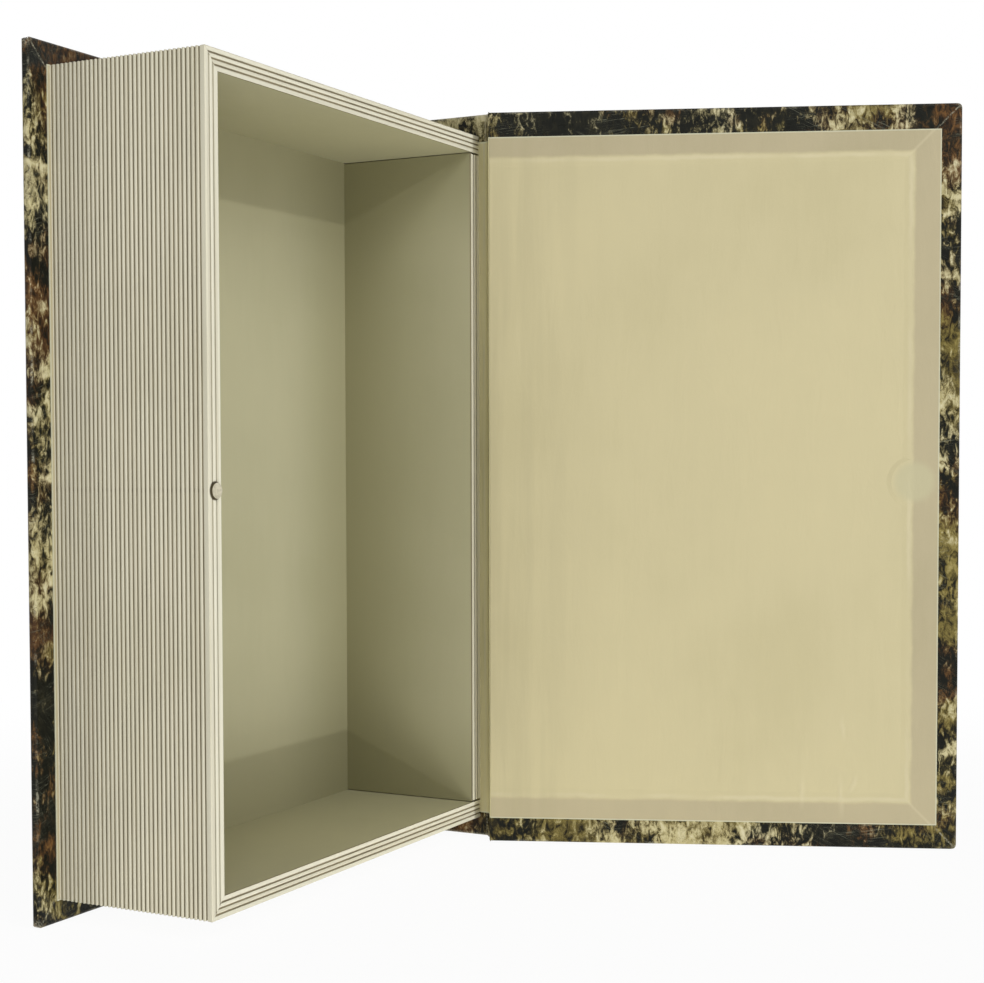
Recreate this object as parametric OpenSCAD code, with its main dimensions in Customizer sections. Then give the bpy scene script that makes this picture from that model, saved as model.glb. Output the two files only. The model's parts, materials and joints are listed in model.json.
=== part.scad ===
// Book box: a storage tray cased like a hardback book, standing upright with its front cover open.
// The case is three boards in one printed wrap. The tray is glued to the back board and the spine,
// and grooved card strips on its walls and rims look like the edges of pages.
// X runs from the fore edge to the spine, Y from the front cover to the back cover, Z up.

/* [Case] */
// Height of the covers and the spine
cover_h = 300; // [200:1:400]
// Thickness of the grey boards
board_t = 2.4; // [1.6:0.1:3.2]
// Thickness of the printed wrap
wrap_t = 0.3; // [0.2:0.05:0.4]
// Thickness of the cream liners
liner_t = 0.3; // [0.2:0.05:0.4]
// How far the wrap is turned in over the inside of a board
turn_in = 19; // [14:0.5:26]
// How far the covers overhang the tray at the fore edge
fore_square = 10.6; // [5:0.1:16]
// How far the covers overhang the tray at the head and the tail
end_square = 7.8; // [4:0.1:12]
// Radius of the wrapped board edges
edge_r = 1.1; // [0.6:0.1:1.4]
// Radius of the board corners, seen from the front
corner_r = 2.4; // [0.8:0.1:4]
// Width of the hairline along a mitred fold
mitre_w = 0.25; // [0.1:0.05:0.5]
// Depth of that hairline
mitre_depth = 0.12; // [0.05:0.01:0.18]

/* [Spine and joints] */
// Gap between a cover board and the spine
joint_gap = 9.5; // [7:0.1:14]
// How far the spine stops short of the covers' outer faces
spine_inset = 1.2; // [0.6:0.1:2]
// How much taller than the covers the spine is
spine_rise = 1.2; // [0:0.1:3]
// Distance of the fold at the spine from the tray's side
fold_beside = 0.9; // [0.5:0.1:2]
// Distance of that fold behind the spine's front edge
fold_behind = 1.6; // [0.8:0.1:3]
// Length of joint liner that is glued between the tray and the spine
joint_tail = 12; // [6:0.5:20]
// Air between the joint sheets and the front cover
joint_air = 0.1; // [0.05:0.05:0.3]

/* [Front cover] */
// Opening angle of the front cover, from closed
open_angle = 112; // [60:1:180]
// Share of that angle that the fold at the spine takes
strip_angle = 36; // [20:1:60]
// Margin of the front liner at the head
head_margin = 10.2; // [6:0.1:13]
// Margin of the front liner at the tail
tail_margin = 9.8; // [6:0.1:13]
// Margin of the front liner at the fore edge
fore_margin = 8.1; // [5:0.1:13]
// Width of the slope where a liner steps down from the turn-ins
step_w = 3.5; // [1:0.1:6]

/* [Tray] */
// Width of the tray, fore edge to spine
tray_w = 188.3; // [120:0.1:260]
// Depth of the tray
tray_d = 64.3; // [40:0.1:90]
// Thickness of the fore-edge and spine walls with everything on them
side_wall = 6.6; // [6.4:0.1:10]
// Thickness of the head and tail walls with everything on them
end_wall = 7.3; // [5:0.1:10]
// Thickness of the floor board
floor_t = 2.4; // [1.5:0.1:4]
// Thickness of the lining papers
lining_t = 0.3; // [0.2:0.05:0.5]
// Gap at each end of the spine wall
wall_gap = 0.35; // [0.3:0.05:1.2]
// How far the back liner shows beside the pages at the fore edge
liner_slip = 1.4; // [0.5:0.1:3]

/* [Pages] */
// Thickness of the page strips
page_t = 0.8; // [0.6:0.1:1.2]
// Distance from one groove to the next
page_pitch = 1.8; // [1.4:0.1:3]
// Width of a groove at its mouth
groove_w = 0.7; // [0.4:0.05:1]
// Width of a groove at its bottom
groove_floor = 0.35; // [0.1:0.05:0.4]
// Depth of a groove
groove_depth = 0.45; // [0.2:0.05:0.5]
// How far the edges of a ridge lie below its crown
crown = 0.12; // [0:0.02:0.2]
// Width of the plain band beside the tray's mouth
corner_band = 2.5; // [1.5:0.1:4]
// Ridges on the rims of the fore-edge and spine walls
side_ridges = 3; // [2:1:4]
// Ridges on the rims of the head and tail walls
end_ridges = 4; // [2:1:5]
// Size of the fold line along the mouth's outer edges
fold = 0.3; // [0.1:0.05:0.5]
// Open seam where two page strips meet in a mitre
seam = 0.1; // [0.05:0.05:0.3]
// Gap at each end of the spine wall's page strip
rim_gap = 0.8; // [0.5:0.1:2]

/* [Catch] */
// Diameter of the magnet
magnet_d = 5.2; // [3:0.1:5.4]
// Length of the magnet
magnet_l = 8; // [4:0.5:12]
// How far the magnet stands proud of the rim
magnet_proud = 0.8; // [0.3:0.1:1.5]
// Air between the magnet and the closed front liner
catch_air = 0.3; // [0.2:0.1:0.6]
// Diameter of the steel plate
plate_d = 17; // [10:0.5:24]
// Thickness of the steel plate
plate_t = 0.8; // [0.5:0.1:1.2]
// Distance of the plate's centre from the front cover's fore edge
plate_in = 18.2; // [16:0.1:26]
// How far the magnet and the plate lie below half-way up
catch_low = 1; // [0:0.1:5]
// Clearance of the magnet and the plate in their pockets
fit = 0.1; // [0.05:0.01:0.2]

/* [Hidden] */
$fn = 64;

// A sliver that carries a cut past the face it opens
over = 1;
// Thickness of a board in its wrap, and of a whole cover with its liner
slab_t = board_t + 2 * wrap_t;
case_t = slab_t + liner_t;
// Width of a cover board in its wrap
board_w = tray_w + fore_square - joint_gap;
// Roundings stay inside the thickness that they round
slab_r = min(edge_r, 0.45 * slab_t);
board_r = max(slab_r - wrap_t, 0.1);
// Gap between the tray's rims and the closed front liner
cover_gap = magnet_proud + catch_air;

// Heights of the tray's tail and head
tail_z = end_square;
head_z = cover_h - end_square;
// Where the wall boards start: under the page strips on three sides
wall_x0 = page_t;
wall_y0 = -tray_d + page_t;
side_board = side_wall - page_t - lining_t;
end_board = end_wall - page_t - lining_t;
spine_board_t = side_wall - lining_t;
inner_x0 = side_wall;
inner_x1 = tray_w - side_wall;
inner_z0 = tail_z + end_wall;
inner_z1 = head_z - end_wall;

// The spine's height and its two edges
spine_h = cover_h + spine_rise;
board_x1 = board_w - fore_square;
closed_y = -(tray_d + cover_gap);
spine_y0 = closed_y - case_t + spine_inset;
spine_y1 = case_t - spine_inset;
spine_w = spine_y1 - spine_y0;

// Height of the catch. The magnet sits in the middle of the fore-edge rim.
catch_z = cover_h / 2 - catch_low;
magnet_x = wall_x0 + side_board / 2;

// The front cover opens on two folds of the joint: one beside the spine, one at its own board's edge
spine_fold = [tray_w + fold_beside, spine_y0 + fold_behind];
board_fold = [board_x1, closed_y - case_t / 2];
function turned(p, centre, a) = centre + [
    (p.x - centre.x) * cos(a) - (p.y - centre.y) * sin(a),
    (p.x - centre.x) * sin(a) + (p.y - centre.y) * cos(a),
];
function opened(p) = turned(turned(p, board_fold, open_angle - strip_angle), spine_fold, strip_angle);

// The open front cover reaches furthest at its fore edge. The origin is below the middle of the whole.
reach_in = opened([-fore_square, closed_y]);
reach_out = opened([-fore_square, closed_y - case_t]);
low = [min(-fore_square, reach_in.x, reach_out.x), min(spine_y0, reach_in.y, reach_out.y)];
high = [max(tray_w + case_t, reach_in.x, reach_out.x), case_t];
middle = (low + high) / 2;

// Moves the tray's own frame to the part's origin
module place() {
    translate([-middle.x, -middle.y, 0])
    children();
}

// Turns a piece about an upright line
module turn(centre, a) {
    translate([centre.x, centre.y, 0])
    rotate([0, 0, a])
    translate([-centre.x, -centre.y, 0])
    children();
}

// Puts a piece of the closed front cover where the open cover is
module swing() {
    place()
    turn(spine_fold, strip_angle)
    turn(board_fold, open_angle - strip_angle)
    children();
}

// A cover's own frame has its inner face at y = 0, its outer face at case_t and its fore edge at x = 0
module at_back() {
    place()
    translate([-fore_square, 0, 0])
    children();
}

module at_front() {
    swing()
    translate([-fore_square, closed_y, 0])
    mirror([0, 1, 0])
    children();
}

// The spine's own frame has its inner face at y = 0, as a cover's has, and its front edge at x = 0
module at_spine() {
    place()
    translate([tray_w, spine_y0, 0])
    mirror([1, 0, 0])
    rotate([0, 0, 90])
    children();
}

// A rectangle from the origin, with its two left corners rounded, or all four
module round_left(w, h, r) {
    translate([r, 0])
    square([w - r, h]);
    translate([0, r])
    square([r, h - 2 * r]);
    translate([r, r])
    circle(r);
    translate([r, h - r])
    circle(r);
}

module round_all(w, h, r) {
    intersection() {
        round_left(w, h, r);
        translate([w, 0])
        mirror([1, 0])
        round_left(w, h, r);
    }
}

// Extrudes an outline drawn in X and Z along Y, from y = 0
module along_y(t) {
    translate([0, t, 0])
    rotate([90, 0, 0])
    linear_extrude(t)
    children();
}

// Extrudes an outline drawn in Z and Y along X, from x = 0
module along_x(w) {
    mirror([1, 0, 0])
    rotate([0, -90, 0])
    linear_extrude(w)
    children();
}

// A panel with rounded head and tail edges. A cover's fore edge and corners are rounded too.
module spine_panel(w, h, t, r) {
    along_x(w)
    round_all(h, t, r);
}

module cover_panel(w, h, t, r, rc) {
    intersection() {
        spine_panel(w, h, t, r);
        linear_extrude(h)
        round_left(w, t, r);
        along_y(t)
        round_left(w, h, rc);
    }
}

// The boards inside the wraps, from x0 to x1
module cover_board(x1) {
    translate([wrap_t, liner_t + wrap_t, wrap_t])
    cover_panel(x1 - wrap_t, cover_h - 2 * wrap_t, board_t, board_r, max(corner_r - wrap_t, board_r));
}

module bare_spine(x0, x1) {
    translate([x0, liner_t + wrap_t, wrap_t])
    spine_panel(x1 - x0, spine_h - 2 * wrap_t, board_t, board_r);
}

// The inside of a board from x0 to x1, as far as its turn-ins leave it bare
module window(x0, x1) {
    translate([x0, liner_t - over, turn_in])
    cube([x1 - x0, wrap_t + over, cover_h - 2 * turn_in]);
}

// The fold lines where a cover's turn-ins meet at its corners
module mitre_lines() {
    reach = turn_in * sqrt(2);
    for (tail = [true, false])
    translate([0, liner_t, tail ? 0 : cover_h])
    rotate([0, tail ? -45 : 45, 0])
    translate([0, -over, -mitre_w / 2])
    cube([reach, over + mitre_depth, mitre_w]);
}

// The printed paper round a cover board, turned in at the head, the tail and the fore edge
module cover_wrap() {
    difference() {
        translate([0, liner_t, 0])
        cover_panel(board_w, cover_h, slab_t, slab_r, corner_r);
        cover_board(board_w + over);
        window(turn_in, board_w + over);
        mitre_lines();
    }
}

// The steel disc's place in the front cover, grown by a clearance
module plate_disc(d, y0, t) {
    translate([plate_in, y0, catch_z])
    rotate([-90, 0, 0])
    cylinder(d = d, h = t);
}

// What the liner over the plate keeps: a low round rise with a sloping side
module plate_rise() {
    rise_d = plate_d + 2 * wrap_t;
    translate([plate_in, -wrap_t, catch_z])
    rotate([-90, 0, 0])
    cylinder(d1 = rise_d - step_w, d2 = rise_d + step_w, h = 2 * wrap_t);
}

// The hollow in a liner's face where no turn-in lies under it, with sloping sides
module step_recess(x1) {
    intersection() {
        linear_extrude(cover_h)
        polygon([
            [turn_in - step_w, -wrap_t], [turn_in + step_w, wrap_t],
            [x1, wrap_t], [x1, -wrap_t],
        ]);
        along_x(x1)
        polygon([
            [turn_in - step_w, -wrap_t], [turn_in + step_w, wrap_t],
            [cover_h - turn_in - step_w, wrap_t], [cover_h - turn_in + step_w, -wrap_t],
        ]);
    }
}

// A liner from x0 to x1 and z0 to z1. It steps down where the turn-ins end, as far as step_x1,
// except over the children.
module liner(x0, x1, z0, z1, step_x1) {
    difference() {
        union() {
            translate([x0, 0, z0])
            cube([x1 - x0, liner_t, z1 - z0]);
            translate([turn_in, 0, turn_in])
            cube([board_w - turn_in, liner_t + wrap_t, cover_h - 2 * turn_in]);
        }
        difference() {
            step_recess(step_x1);
            children();
        }
    }
}

// Back cover
module back_board() {
    color("tan")
    at_back()
    cover_board(board_w);
}

module back_wrap() {
    color("darkolivegreen")
    at_back()
    cover_wrap();
}

module back_liner() {
    color("wheat")
    at_back()
    liner(fore_square - liner_slip, board_w + joint_gap, tail_z, head_z, board_w - step_w);
}

// Spine: its wrap is turned in at the head and the tail only
module spine_board() {
    color("tan")
    at_spine()
    bare_spine(0, spine_w);
}

module spine_wrap() {
    color("darkolivegreen")
    at_spine()
    difference() {
        translate([0, liner_t, 0])
        spine_panel(spine_w, spine_h, slab_t, slab_r);
        bare_spine(-over, spine_w + over);
        window(-over, spine_w + over);
    }
}

// Front cover
module front_board() {
    color("tan")
    at_front()
    difference() {
        cover_board(board_w);
        plate_disc(plate_d + 2 * fit, 0, liner_t + plate_t + fit);
    }
}

module front_wrap() {
    color("darkolivegreen")
    at_front()
    difference() {
        cover_wrap();
        plate_disc(plate_d + 2 * fit, 0, liner_t + wrap_t);
    }
}

module front_liner() {
    color("wheat")
    at_front()
    difference() {
        liner(fore_margin, board_w, tail_margin, cover_h - head_margin, board_w + over)
        plate_rise();
        plate_disc(plate_d + 2 * fit, liner_t, wrap_t + over);
    }
}

module catch_plate() {
    color("silver")
    at_front()
    plate_disc(plate_d, liner_t, plate_t);
}

// A path moved sideways by a shift to its left, with mitred corners
function unit(v) = v / norm(v);
function left_of(v) = [-v.y, v.x];
function beside(path, shift) = [
    for (i = [0:len(path) - 1])
    let (
        before = left_of(unit(path[max(i, 1)] - path[max(i, 1) - 1])),
        after = left_of(unit(path[min(i + 1, len(path) - 1)] - path[min(i, len(path) - 2)])),
        side = unit(before + after)
    )
    path[i] + shift / (side * after) * side
];
function backwards(path) = [for (i = [len(path) - 1:-1:0]) path[i]];

// A sheet of thickness t whose middle follows a path that is moved sideways by a shift
module sheet(path, t, shift) {
    polygon(concat(beside(path, shift + t / 2), backwards(beside(path, shift - t / 2))));
}

// Points along a cubic curve
function curve(a, b, c, d, steps) = [
    for (i = [0:steps])
    let (t = i / steps)
    pow(1 - t, 3) * a + 3 * t * pow(1 - t, 2) * b + 3 * t * t * (1 - t) * c + pow(t, 3) * d
];

// A joint's wrap, seen as an extruded outline. Its head edge climbs from the cover's height at x0
// to the spine's height at x1.
module joint_height(x0, x1) {
    intersection() {
        children();
        translate([0, low.y - over, 0])
        along_y(high.y - low.y + 2 * over)
        polygon([
            [low.x, 0], [low.x, cover_h], [x0, cover_h],
            [x1, spine_h], [high.x + over, spine_h], [high.x + over, 0],
        ]);
    }
}

// The back joint: from the back board's outer face down into the groove, and up to the spine's outer edge
groove_steps = 16;
groove_fullness = 0.8;
flat_lead = 0.5;
spine_out = tray_w + case_t;
groove_x0 = board_x1 + flat_lead;
groove_y0 = case_t - wrap_t / 2;
groove_y1 = spine_y1 + wrap_t / 2;
groove_low = liner_t + 1.5 * wrap_t;
back_groove = [
    for (i = [0:groove_steps])
    let (u = i / groove_steps, lift = groove_y0 + (groove_y1 - groove_y0) * u)
    [groove_x0 + (tray_w - groove_x0) * u, lift - (lift - groove_low) * pow(sin(180 * u), groove_fullness)]
];
back_joint_path = concat([[board_x1, groove_y0]], back_groove, [[spine_out, groove_y1]]);
// The turned-in ends leave room for the steep sides
turned_from = 3;
back_turned_path = [for (i = [turned_from:groove_steps - turned_from]) back_groove[i]];

module back_joint_wrap() {
    color("darkolivegreen")
    place()
    joint_height(board_x1, tray_w) {
        linear_extrude(spine_h)
        sheet(back_joint_path, wrap_t, 0);
        linear_extrude(turn_in)
        sheet(back_turned_path, wrap_t, -wrap_t);
        translate([0, 0, cover_h - turn_in])
        linear_extrude(turn_in + spine_rise)
        sheet(back_turned_path, wrap_t, -wrap_t);
    }
}

// The front joint, open. Its wrap runs from the spine's front edge to the cover's outer face. It bows out a
// little, and bends into the cover's own direction just before its edge.
joint_steps = 10;
joint_bow = 0.3;
joint_stub = 0.3;
along = [cos(open_angle + 180), sin(open_angle + 180)];
outward = left_of(along);
board_in = opened([board_x1 + joint_air, closed_y]);
wrap_from = [tray_w + case_t / 2, spine_y0 - wrap_t / 2];
wrap_to = board_in + outward * (case_t - wrap_t / 2);
wrap_end = wrap_to - along * joint_stub;
wrap_side = joint_bow * left_of(unit(wrap_end - wrap_from));
front_joint_path = concat(
    [[spine_out, wrap_from.y]],
    curve(
        wrap_from, wrap_from + (wrap_end - wrap_from) / 3 + wrap_side,
        wrap_end - (wrap_end - wrap_from) / 3 + wrap_side, wrap_end, joint_steps
    ),
    [wrap_to]
);

// The paper that lies on its inside: it steps up over the edge of the cover's board to the inner face
lift_off = 4;
inner_layer = beside(front_joint_path, -(wrap_t + liner_t) / 2);
inner_edge = board_in - along * liner_t / 2;
joint_inside = concat(
    [for (i = [lift_off:joint_steps + 1]) inner_layer[i]],
    [inner_edge + outward * (case_t - wrap_t - liner_t / 2), inner_edge]
);

// The liner comes out from between the tray and the spine. Above and below it the wrap is turned in.
liner_x = tray_w + liner_t / 2;
liner_root = [[liner_x, -tray_d + joint_tail], [liner_x, spine_y0 + wrap_t + liner_t]];
joint_liner_path = concat(liner_root, joint_inside);
folded_path = concat([[tray_w + liner_t + wrap_t / 2, wrap_from.y]], joint_inside);

module front_joint_wrap() {
    color("darkolivegreen")
    place()
    joint_height(wrap_to.x, wrap_from.x) {
        linear_extrude(spine_h)
        sheet(front_joint_path, wrap_t, 0);
        linear_extrude(tail_margin)
        sheet(folded_path, wrap_t, 0);
        translate([0, 0, cover_h - head_margin])
        linear_extrude(head_margin + spine_rise)
        sheet(folded_path, wrap_t, 0);
    }
}

module front_joint_liner() {
    color("wheat")
    place()
    translate([0, 0, tail_margin])
    linear_extrude(cover_h - head_margin - tail_margin)
    sheet(joint_liner_path, liner_t, 0);
}

// A rectangular board or paper of the tray, from one corner to the opposite one
module flat_piece(corner_a, corner_b) {
    translate(corner_a)
    cube(corner_b - corner_a);
}

// A round body of the given diameter about the magnet's axis, from y0 to the magnet's inner end
module magnet_round(d, y0) {
    translate([magnet_x, y0, catch_z])
    rotate([-90, 0, 0])
    cylinder(d = d, h = magnet_l - magnet_proud - tray_d - y0);
}

module magnet_pocket() {
    magnet_round(magnet_d + 2 * fit, -tray_d - over);
}

// Tray boards

module tray_floor() {
    color("tan")
    place()
    flat_piece([wall_x0, -floor_t, tail_z + page_t], [tray_w, 0, head_z - page_t]);
}

module fore_edge_wall() {
    color("tan")
    place()
    difference() {
        flat_piece(
            [wall_x0, wall_y0, tail_z + page_t + end_board],
            [wall_x0 + side_board, -floor_t, head_z - page_t - end_board]
        );
        magnet_pocket();
    }
}

module spine_wall() {
    color("tan")
    place()
    flat_piece(
        [tray_w - spine_board_t, wall_y0, inner_z0 + wall_gap],
        [tray_w, -floor_t, inner_z1 - wall_gap]
    );
}

module tail_wall() {
    color("tan")
    place()
    flat_piece([wall_x0, wall_y0, tail_z + page_t], [tray_w, -floor_t, tail_z + page_t + end_board]);
}

module head_wall() {
    color("tan")
    place()
    flat_piece([wall_x0, wall_y0, head_z - page_t - end_board], [tray_w, -floor_t, head_z - page_t]);
}

// One groove across a face, as points of distance along the face and depth below it
function groove(s) = [
    [s - groove_w / 2, crown], [s - groove_floor / 2, groove_depth],
    [s + groove_floor / 2, groove_depth], [s + groove_w / 2, crown],
];

// A ridge between two grooves has its crown in the middle
function ridge(s0, s1) =
    let (q = (s1 - s0) / 4)
    [[s0 + q, crown / 4], [s0 + 2 * q, 0], [s0 + 3 * q, crown / 4]];

// The face of a strip: grooves at the given places, with crowned ridges between them
function grooved(places) = [
    for (i = [0:len(places) - 1])
    each concat(
        groove(places[i]),
        i < len(places) - 1 ? ridge(places[i] + groove_w / 2, places[i + 1] - groove_w / 2) : []
    )
];

// Grooves on the outer face, counted back from the mouth, and on a rim of a given width
side_count = floor((tray_d - corner_band - groove_w / 2) / page_pitch) + 1;
side_places = [for (i = [side_count - 1:-1:0]) tray_d - corner_band - i * page_pitch];
function rim_places(width, ridges) = [for (i = [1:ridges - 1]) width * i / ridges];

// Outline of a strip in depth below the outer face and Y: the outer leg, and the leg over the rim
module strip_outline(width, ridges) {
    face = [for (p = grooved(side_places)) [p.y, -p.x]];
    rim = [for (p = grooved(rim_places(width, ridges))) [p.x, -tray_d + p.y]];
    polygon(concat(
        [[0, 0]], face, [[0, -tray_d + fold], [fold, -tray_d]], rim,
        [[width, -tray_d], [width, wall_y0], [page_t, wall_y0], [page_t, 0]]
    ));
}

// The two mitre planes run from the tray's outer corners to the corners of its hollow
module fore_edge_prism() {
    translate([0, -tray_d - over, 0])
    along_y(tray_d + 2 * over)
    polygon([
        [0, tail_z + seam], [0, head_z - seam],
        [side_wall, inner_z1 - seam], [side_wall, inner_z0 + seam],
    ]);
}

module end_prism() {
    translate([0, -tray_d - over, 0])
    along_y(tray_d + 2 * over)
    polygon([
        [0, tail_z], [side_wall, inner_z0],
        [tray_w, inner_z0], [tray_w, tail_z],
    ]);
}

module fore_edge_pages() {
    color("ivory")
    place()
    difference() {
        intersection() {
            linear_extrude(cover_h)
            strip_outline(side_wall, side_ridges);
            fore_edge_prism();
        }
        magnet_pocket();
    }
}

module tail_strip() {
    intersection() {
        translate([0, 0, tail_z])
        along_x(tray_w)
        strip_outline(end_wall, end_ridges);
        end_prism();
    }
}

module tail_pages() {
    color("ivory")
    place()
    tail_strip();
}

module head_pages() {
    color("ivory")
    place()
    translate([0, 0, cover_h])
    mirror([0, 0, 1])
    tail_strip();
}

// The spine wall's rim has its own flat strip, a little short of the head and tail rims
module spine_rim_pages() {
    color("ivory")
    place()
    translate([inner_x1, 0, inner_z0 + rim_gap])
    linear_extrude(inner_z1 - inner_z0 - 2 * rim_gap)
    polygon(concat(
        [[0, wall_y0], [0, -tray_d]],
        [for (p = grooved(rim_places(side_wall, side_ridges))) [p.x, -tray_d + p.y]],
        [[side_wall, -tray_d], [side_wall, wall_y0]]
    ));
}

// Lining papers
module floor_lining() {
    color("lightyellow")
    place()
    flat_piece([inner_x0, -floor_t - lining_t, inner_z0], [inner_x1, -floor_t, inner_z1]);
}

module fore_edge_lining() {
    color("lightyellow")
    place()
    flat_piece([inner_x0 - lining_t, wall_y0, inner_z0], [inner_x0, -floor_t, inner_z1]);
}

module spine_lining() {
    color("lightyellow")
    place()
    flat_piece(
        [inner_x1, wall_y0, inner_z0 + wall_gap],
        [inner_x1 + lining_t, -floor_t, inner_z1 - wall_gap]
    );
}

module tail_lining() {
    color("lightyellow")
    place()
    flat_piece([inner_x0 - lining_t, wall_y0, inner_z0 - lining_t], [tray_w, -floor_t, inner_z0]);
}

module head_lining() {
    color("lightyellow")
    place()
    flat_piece([inner_x0 - lining_t, wall_y0, inner_z1], [tray_w, -floor_t, inner_z1 + lining_t]);
}

// Catch
module catch_magnet() {
    color("silver")
    place()
    magnet_round(magnet_d, -tray_d - magnet_proud);
}

back_board();
back_wrap();
back_liner();
back_joint_wrap();
spine_board();
spine_wrap();
front_board();
front_wrap();
front_liner();
front_joint_wrap();
front_joint_liner();
tray_floor();
fore_edge_wall();
spine_wall();
head_wall();
tail_wall();
fore_edge_pages();
head_pages();
tail_pages();
spine_rim_pages();
floor_lining();
fore_edge_lining();
spine_lining();
head_lining();
tail_lining();
catch_magnet();
catch_plate();
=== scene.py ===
"""Book box, standing open: materials, joint papers, wear, lights and camera around the fixed frame.

Lengths in the helpers are in millimetres, in the tray's own axes: x from the tray's fore-edge face to the
spine, y from the tray's back to the room (negative), z up from the covers' lower edges.
"""
import json
import math
import bpy
import bmesh
from mathutils import Matrix, Vector


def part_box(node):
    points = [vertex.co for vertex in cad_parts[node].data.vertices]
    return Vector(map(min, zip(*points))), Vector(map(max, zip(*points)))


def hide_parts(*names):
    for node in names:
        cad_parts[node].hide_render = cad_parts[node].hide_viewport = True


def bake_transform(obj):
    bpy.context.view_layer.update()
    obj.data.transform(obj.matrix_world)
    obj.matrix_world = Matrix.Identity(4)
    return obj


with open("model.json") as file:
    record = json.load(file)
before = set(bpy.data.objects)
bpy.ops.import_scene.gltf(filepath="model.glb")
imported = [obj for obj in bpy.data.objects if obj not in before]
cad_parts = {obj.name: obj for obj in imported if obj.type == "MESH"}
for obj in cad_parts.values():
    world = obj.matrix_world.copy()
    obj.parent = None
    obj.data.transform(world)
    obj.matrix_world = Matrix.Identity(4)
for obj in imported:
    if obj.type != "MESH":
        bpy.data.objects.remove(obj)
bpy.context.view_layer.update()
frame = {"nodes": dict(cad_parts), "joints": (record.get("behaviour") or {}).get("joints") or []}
nodes = frame["nodes"]
joints = {joint["name"]: joint for joint in frame["joints"]}
MM = 0.001

# Places, read from the frame
PAGES_LOW = Vector(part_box("fore_edge_pages")[0])
FLOOR_HIGH = Vector(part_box("tray_floor")[1])
WRAP_LOW, WRAP_HIGH = (Vector(corner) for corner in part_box("back_wrap"))
SPINE_WRAP_LOW, SPINE_WRAP_HIGH = (Vector(corner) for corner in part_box("spine_wrap"))
ORIGIN = Vector((PAGES_LOW.x, FLOOR_HIGH.y, 0.0))
TRAY_D = (FLOOR_HIGH.y - PAGES_LOW.y) / MM
TRAY_Z0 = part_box("tail_pages")[0][2] / MM
TRAY_Z1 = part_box("head_pages")[1][2] / MM
COVER_H = WRAP_HIGH.z / MM
COVER_W = (WRAP_HIGH.x - WRAP_LOW.x) / MM
OVERHANG = (ORIGIN.x - WRAP_LOW.x) / MM
SPINE_H = SPINE_WRAP_HIGH.z / MM
SPINE_IN = (SPINE_WRAP_LOW.x - ORIGIN.x) / MM
SPINE_OUT = (SPINE_WRAP_HIGH.x - ORIGIN.x) / MM
SPINE_FRONT, SPINE_BACK = ((corner.y - ORIGIN.y) / MM for corner in (SPINE_WRAP_LOW, SPINE_WRAP_HIGH))


def at(x, y, z):
    """A place in the row frame, from tray millimetres."""
    return ORIGIN + Vector((x, y, z)) * MM


def flat(point):
    """A row-frame point seen from above, in tray millimetres."""
    return Vector(((point[0] - ORIGIN.x) / MM, (point[1] - ORIGIN.y) / MM))


def in_tray(box):
    """Both corners of a box, in tray millimetres."""
    return [(Vector(corner) - ORIGIN) / MM for corner in box]


FLOOR_PAPER_LOW, FLOOR_PAPER_HIGH = in_tray(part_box("floor_lining"))
MAGNET_LOW, MAGNET_HIGH = in_tray(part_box("catch_magnet"))

# The open front cover: its inner edge at the joint, the way from there to its fore edge, and the way outward
SHEET_T = 0.3
CASE_T = (WRAP_HIGH.y - ORIGIN.y) / MM
JOINT_AIR = 0.1
COVER_ANGLE = math.radians(112)
SPINE_FOLD = flat(joints["spine_fold"]["pos_m"])
BOARD_FOLD = flat(joints["board_fold"]["pos_m"])
ALONG = Vector((math.cos(COVER_ANGLE + math.pi), math.sin(COVER_ANGLE + math.pi)))
OUTWARD = Vector((-ALONG.y, ALONG.x))
COVER_EDGE = BOARD_FOLD - ALONG * JOINT_AIR - OUTWARD * CASE_T / 2

# Camera
CAMERA_AT = (-466.44, -408.63, 161.31)
YAW, PITCH, ROLL = 1.0922, 0.0417, -0.0024
FOCAL_PX, FRAME_W, FRAME_H = 1768.55, 984, 983
CENTRE_PX = (489.52, 526.03)
SENSOR_W = 36.0

camera_data = bpy.data.cameras.new("camera")
camera = bpy.data.objects.new("camera", camera_data)
bpy.context.scene.collection.objects.link(camera)
camera_data.sensor_width = SENSOR_W
camera_data.lens = FOCAL_PX / FRAME_W * SENSOR_W
camera_data.shift_x = (FRAME_W / 2 - CENTRE_PX[0]) / FRAME_W
camera_data.shift_y = (CENTRE_PX[1] - FRAME_H / 2) / FRAME_W
camera_data.clip_start = 0.01
forward = Vector((math.sin(YAW) * math.cos(PITCH), math.cos(YAW) * math.cos(PITCH), -math.sin(PITCH)))
level_right = Vector((math.cos(YAW), -math.sin(YAW), 0.0))
level_up = level_right.cross(forward)
right = level_right * math.cos(ROLL) + level_up * math.sin(ROLL)
up = right.cross(forward)
camera_turn = Matrix((right, up, -forward)).transposed().to_4x4()
camera.matrix_world = Matrix.Translation(at(*CAMERA_AT)) @ camera_turn
bpy.context.scene.camera = camera

# The sockets of a Mix node that hold colours
MIX_A, MIX_B, MIX_RESULT = 6, 7, 2


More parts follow.
